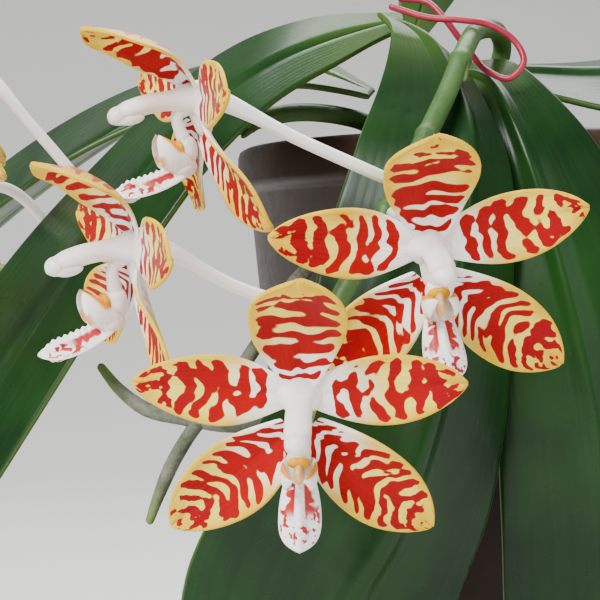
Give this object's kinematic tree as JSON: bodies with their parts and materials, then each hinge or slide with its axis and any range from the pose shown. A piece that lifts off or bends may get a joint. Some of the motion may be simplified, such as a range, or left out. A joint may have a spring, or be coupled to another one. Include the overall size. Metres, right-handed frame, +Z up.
{
  "type": "potted phalaenopsis amboinensis orchid",
  "caption": "Potted orchid with arching glossy leaves, aerial roots and two short hanging sprays of red-barred star flowers; stands on its pot's flat foot.",
  "frame": {"origin": "middle of the pot's underside, on the surface the pot stands on", "axes": "+Z up along the pot's axis, -Y towards the side the flowers face, +X to the right as seen from the flowers' side"},
  "size_m": [0.2695, 0.214, 0.2215],
  "materials": {
    "pot_plastic": "dark brown moulded plastic with a dull sheen",
    "bark": "rough, crumbled orchid bark",
    "root_skin": "matt silvery grey-green skin with green growing tips",
    "leaf": "glossy waxy green, fine lengthwise veins",
    "spike_green": "smooth satin green with papery tan bracts",
    "tepal": "waxy, cream yellow with broken red-brown cross bars",
    "column_white": "waxy white",
    "lip_white": "waxy white with orange-yellow sides and red marks",
    "bud_skin": "smooth yellow-green",
    "wire_coat": "glossy pink-red coating"
  },
  "bodies": {
    "root": {"pot": "pot_plastic", "bark_medium": "bark", "stem_and_roots": "root_skin", "leaf_centre": "leaf", "leaf_left_front": "leaf", "leaf_left_back": "leaf", "leaf_right_front": "leaf", "leaf_right_back": "leaf", "leaf_young": "leaf", "flower_spike_front": "spike_green", "flower_spike_back": "spike_green", "bloom_1_tepals": "tepal", "bloom_1_column": "column_white", "bloom_1_lip": "lip_white", "bloom_2_tepals": "tepal", "bloom_2_column": "column_white", "bloom_2_lip": "lip_white", "bloom_3_tepals": "tepal", "bloom_3_column": "column_white", "bloom_3_lip": "lip_white", "bloom_4_tepals": "tepal", "bloom_4_column": "column_white", "bloom_4_lip": "lip_white", "bloom_5_tepals": "tepal", "bloom_5_column": "column_white", "bloom_5_lip": "lip_white", "bloom_6_tepals": "tepal", "bloom_6_column": "column_white", "bloom_6_lip": "lip_white", "bud_front": "bud_skin", "bud_back": "bud_skin", "tie_wire": "wire_coat"}
  },
  "joints": []
}
